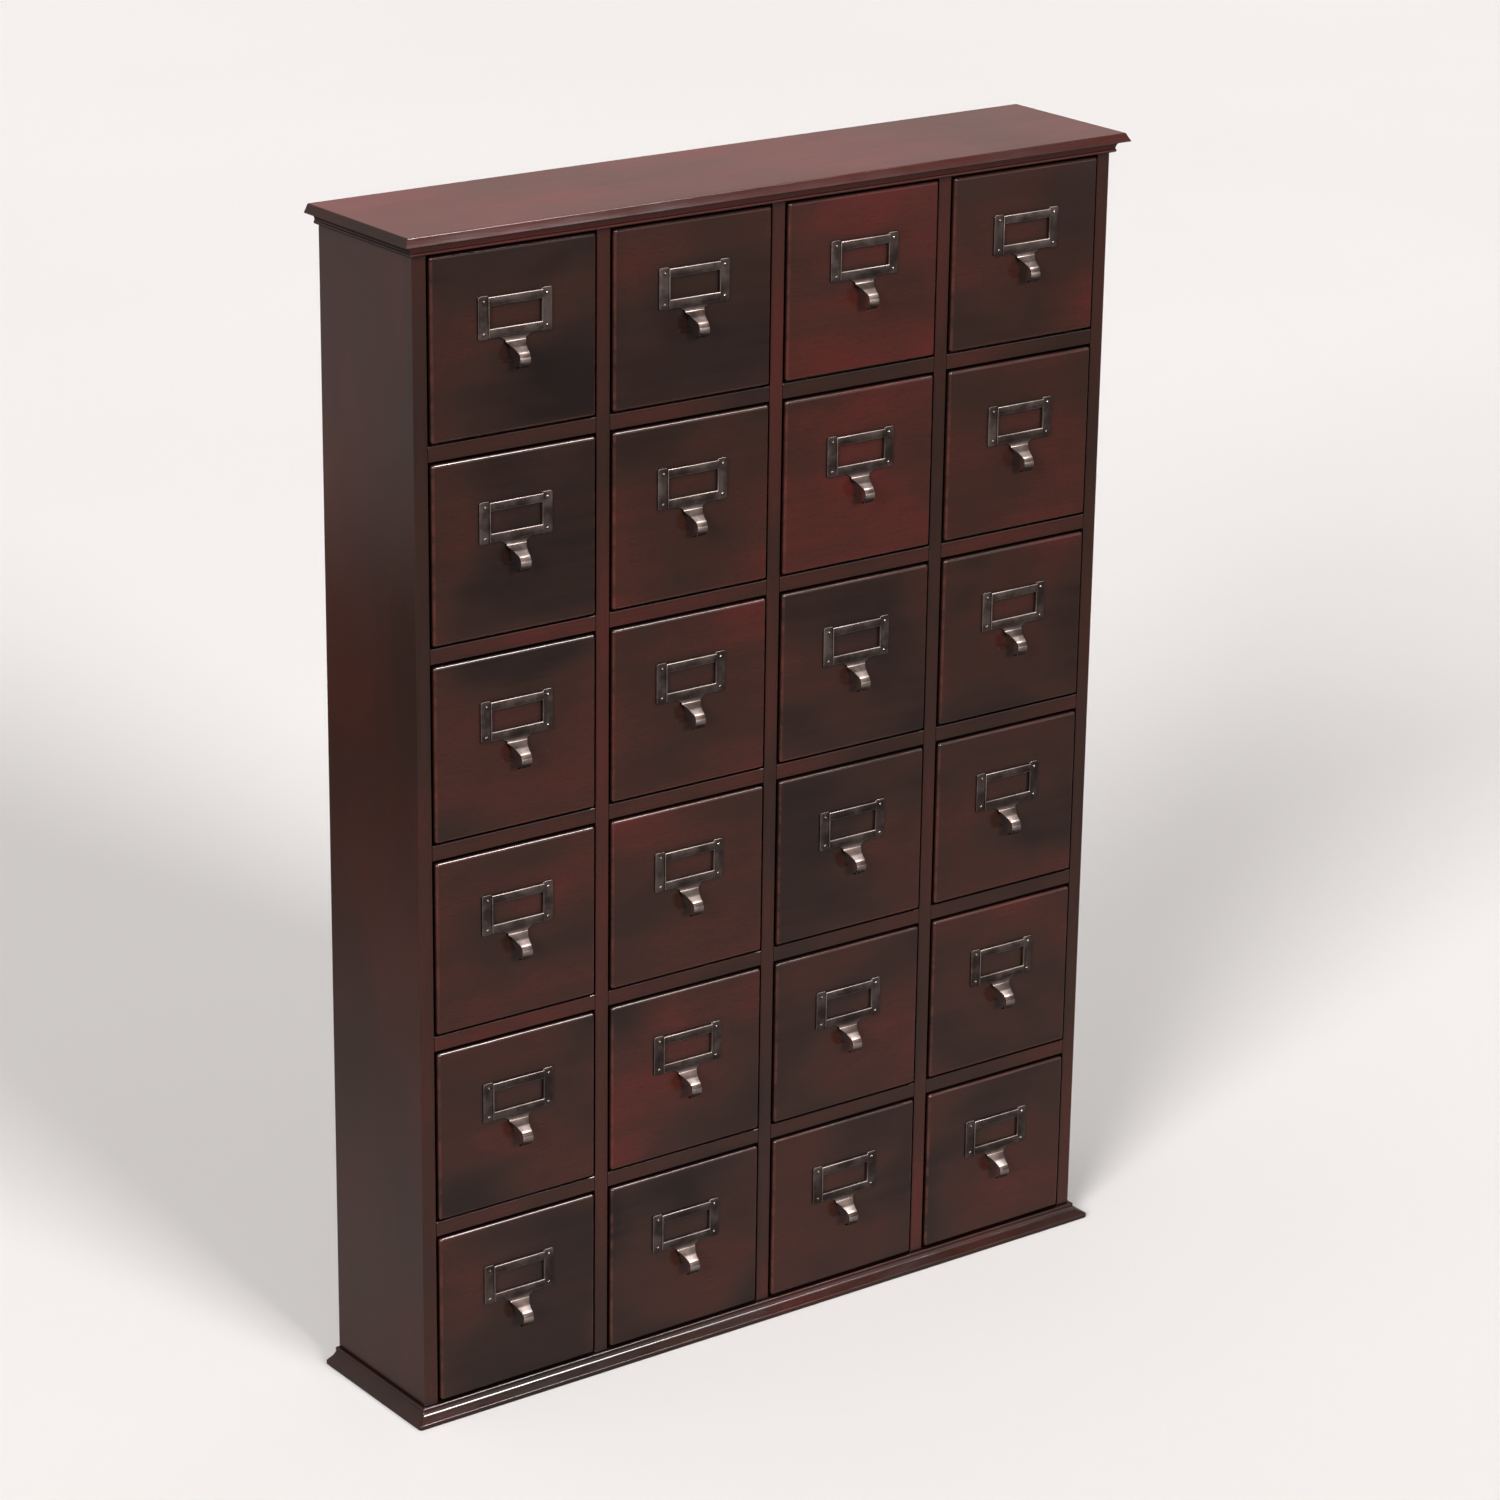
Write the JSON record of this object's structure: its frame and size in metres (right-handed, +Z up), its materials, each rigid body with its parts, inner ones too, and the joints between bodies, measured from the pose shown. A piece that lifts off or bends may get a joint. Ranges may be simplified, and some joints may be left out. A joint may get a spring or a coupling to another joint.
{
  "type": "card catalog cabinet",
  "caption": "Tall shallow wooden cabinet with a grid of small sliding drawers, each with a metal label-holder pull and a hooked finger grip.",
  "frame": {"origin": "floor level, under the centre of the whole cabinet's bounding box", "axes": "+Z up, -Y out of the drawer fronts, +X to the right as seen from the front"},
  "size_m": [0.726, 0.1544, 1.011],
  "materials": {
    "carcass_wood": "semi-gloss lacquer over a dark mahogany stain",
    "drawer_wood": "semi-gloss lacquer over a dark mahogany stain; bare inside",
    "back_panel": "thin stained plywood, satin",
    "pull_metal": "stamped steel with an antique pewter finish, worn bright on its edges"
  },
  "bodies": {
    "carcass": {"top_board": "carcass_wood", "base_board": "carcass_wood", "left_side": "carcass_wood", "right_side": "carcass_wood", "back_panel": "back_panel", "centre_cross": "carcass_wood", "divider_1": "carcass_wood", "divider_3": "carcass_wood", "shelf_1": "carcass_wood", "shelf_2": "carcass_wood", "shelf_4": "carcass_wood", "shelf_5": "carcass_wood"},
    "drawer_r1_c1": {"drawer_r1_c1": "drawer_wood", "pull_r1_c1": "pull_metal"},
    "drawer_r1_c2": {"drawer_r1_c2": "drawer_wood", "pull_r1_c2": "pull_metal"},
    "drawer_r1_c3": {"drawer_r1_c3": "drawer_wood", "pull_r1_c3": "pull_metal"},
    "drawer_r1_c4": {"drawer_r1_c4": "drawer_wood", "pull_r1_c4": "pull_metal"},
    "drawer_r2_c1": {"drawer_r2_c1": "drawer_wood", "pull_r2_c1": "pull_metal"},
    "drawer_r2_c2": {"drawer_r2_c2": "drawer_wood", "pull_r2_c2": "pull_metal"},
    "drawer_r2_c3": {"drawer_r2_c3": "drawer_wood", "pull_r2_c3": "pull_metal"},
    "drawer_r2_c4": {"drawer_r2_c4": "drawer_wood", "pull_r2_c4": "pull_metal"},
    "drawer_r3_c1": {"drawer_r3_c1": "drawer_wood", "pull_r3_c1": "pull_metal"},
    "drawer_r3_c2": {"drawer_r3_c2": "drawer_wood", "pull_r3_c2": "pull_metal"},
    "drawer_r3_c3": {"drawer_r3_c3": "drawer_wood", "pull_r3_c3": "pull_metal"},
    "drawer_r3_c4": {"drawer_r3_c4": "drawer_wood", "pull_r3_c4": "pull_metal"},
    "drawer_r4_c1": {"drawer_r4_c1": "drawer_wood", "pull_r4_c1": "pull_metal"},
    "drawer_r4_c2": {"drawer_r4_c2": "drawer_wood", "pull_r4_c2": "pull_metal"},
    "drawer_r4_c3": {"drawer_r4_c3": "drawer_wood", "pull_r4_c3": "pull_metal"},
    "drawer_r4_c4": {"drawer_r4_c4": "drawer_wood", "pull_r4_c4": "pull_metal"},
    "drawer_r5_c1": {"drawer_r5_c1": "drawer_wood", "pull_r5_c1": "pull_metal"},
    "drawer_r5_c2": {"drawer_r5_c2": "drawer_wood", "pull_r5_c2": "pull_metal"},
    "drawer_r5_c3": {"drawer_r5_c3": "drawer_wood", "pull_r5_c3": "pull_metal"},
    "drawer_r5_c4": {"drawer_r5_c4": "drawer_wood", "pull_r5_c4": "pull_metal"},
    "drawer_r6_c1": {"drawer_r6_c1": "drawer_wood", "pull_r6_c1": "pull_metal"},
    "drawer_r6_c2": {"drawer_r6_c2": "drawer_wood", "pull_r6_c2": "pull_metal"},
    "drawer_r6_c3": {"drawer_r6_c3": "drawer_wood", "pull_r6_c3": "pull_metal"},
    "drawer_r6_c4": {"drawer_r6_c4": "drawer_wood", "pull_r6_c4": "pull_metal"}
  },
  "joints": [
    {"name": "drawer_r1_c1_slide", "type": "slide", "parent": "carcass", "child": "drawer_r1_c1", "axis": [0, -1, 0], "range_m": [0, 0.095]},
    {"name": "drawer_r1_c2_slide", "type": "slide", "parent": "carcass", "child": "drawer_r1_c2", "axis": [0, -1, 0], "range_m": [0, 0.095]},
    {"name": "drawer_r1_c3_slide", "type": "slide", "parent": "carcass", "child": "drawer_r1_c3", "axis": [0, -1, 0], "range_m": [0, 0.095]},
    {"name": "drawer_r1_c4_slide", "type": "slide", "parent": "carcass", "child": "drawer_r1_c4", "axis": [0, -1, 0], "range_m": [0, 0.095]},
    {"name": "drawer_r2_c1_slide", "type": "slide", "parent": "carcass", "child": "drawer_r2_c1", "axis": [0, -1, 0], "range_m": [0, 0.095]},
    {"name": "drawer_r2_c2_slide", "type": "slide", "parent": "carcass", "child": "drawer_r2_c2", "axis": [0, -1, 0], "range_m": [0, 0.095]},
    {"name": "drawer_r2_c3_slide", "type": "slide", "parent": "carcass", "child": "drawer_r2_c3", "axis": [0, -1, 0], "range_m": [0, 0.095]},
    {"name": "drawer_r2_c4_slide", "type": "slide", "parent": "carcass", "child": "drawer_r2_c4", "axis": [0, -1, 0], "range_m": [0, 0.095]},
    {"name": "drawer_r3_c1_slide", "type": "slide", "parent": "carcass", "child": "drawer_r3_c1", "axis": [0, -1, 0], "range_m": [0, 0.095]},
    {"name": "drawer_r3_c2_slide", "type": "slide", "parent": "carcass", "child": "drawer_r3_c2", "axis": [0, -1, 0], "range_m": [0, 0.095]},
    {"name": "drawer_r3_c3_slide", "type": "slide", "parent": "carcass", "child": "drawer_r3_c3", "axis": [0, -1, 0], "range_m": [0, 0.095]},
    {"name": "drawer_r3_c4_slide", "type": "slide", "parent": "carcass", "child": "drawer_r3_c4", "axis": [0, -1, 0], "range_m": [0, 0.095]},
    {"name": "drawer_r4_c1_slide", "type": "slide", "parent": "carcass", "child": "drawer_r4_c1", "axis": [0, -1, 0], "range_m": [0, 0.095]},
    {"name": "drawer_r4_c2_slide", "type": "slide", "parent": "carcass", "child": "drawer_r4_c2", "axis": [0, -1, 0], "range_m": [0, 0.095]},
    {"name": "drawer_r4_c3_slide", "type": "slide", "parent": "carcass", "child": "drawer_r4_c3", "axis": [0, -1, 0], "range_m": [0, 0.095]},
    {"name": "drawer_r4_c4_slide", "type": "slide", "parent": "carcass", "child": "drawer_r4_c4", "axis": [0, -1, 0], "range_m": [0, 0.095]},
    {"name": "drawer_r5_c1_slide", "type": "slide", "parent": "carcass", "child": "drawer_r5_c1", "axis": [0, -1, 0], "range_m": [0, 0.095]},
    {"name": "drawer_r5_c2_slide", "type": "slide", "parent": "carcass", "child": "drawer_r5_c2", "axis": [0, -1, 0], "range_m": [0, 0.095]},
    {"name": "drawer_r5_c3_slide", "type": "slide", "parent": "carcass", "child": "drawer_r5_c3", "axis": [0, -1, 0], "range_m": [0, 0.095]},
    {"name": "drawer_r5_c4_slide", "type": "slide", "parent": "carcass", "child": "drawer_r5_c4", "axis": [0, -1, 0], "range_m": [0, 0.095]},
    {"name": "drawer_r6_c1_slide", "type": "slide", "parent": "carcass", "child": "drawer_r6_c1", "axis": [0, -1, 0], "range_m": [0, 0.095]},
    {"name": "drawer_r6_c2_slide", "type": "slide", "parent": "carcass", "child": "drawer_r6_c2", "axis": [0, -1, 0], "range_m": [0, 0.095]},
    {"name": "drawer_r6_c3_slide", "type": "slide", "parent": "carcass", "child": "drawer_r6_c3", "axis": [0, -1, 0], "range_m": [0, 0.095]},
    {"name": "drawer_r6_c4_slide", "type": "slide", "parent": "carcass", "child": "drawer_r6_c4", "axis": [0, -1, 0], "range_m": [0, 0.095]}
  ]
}
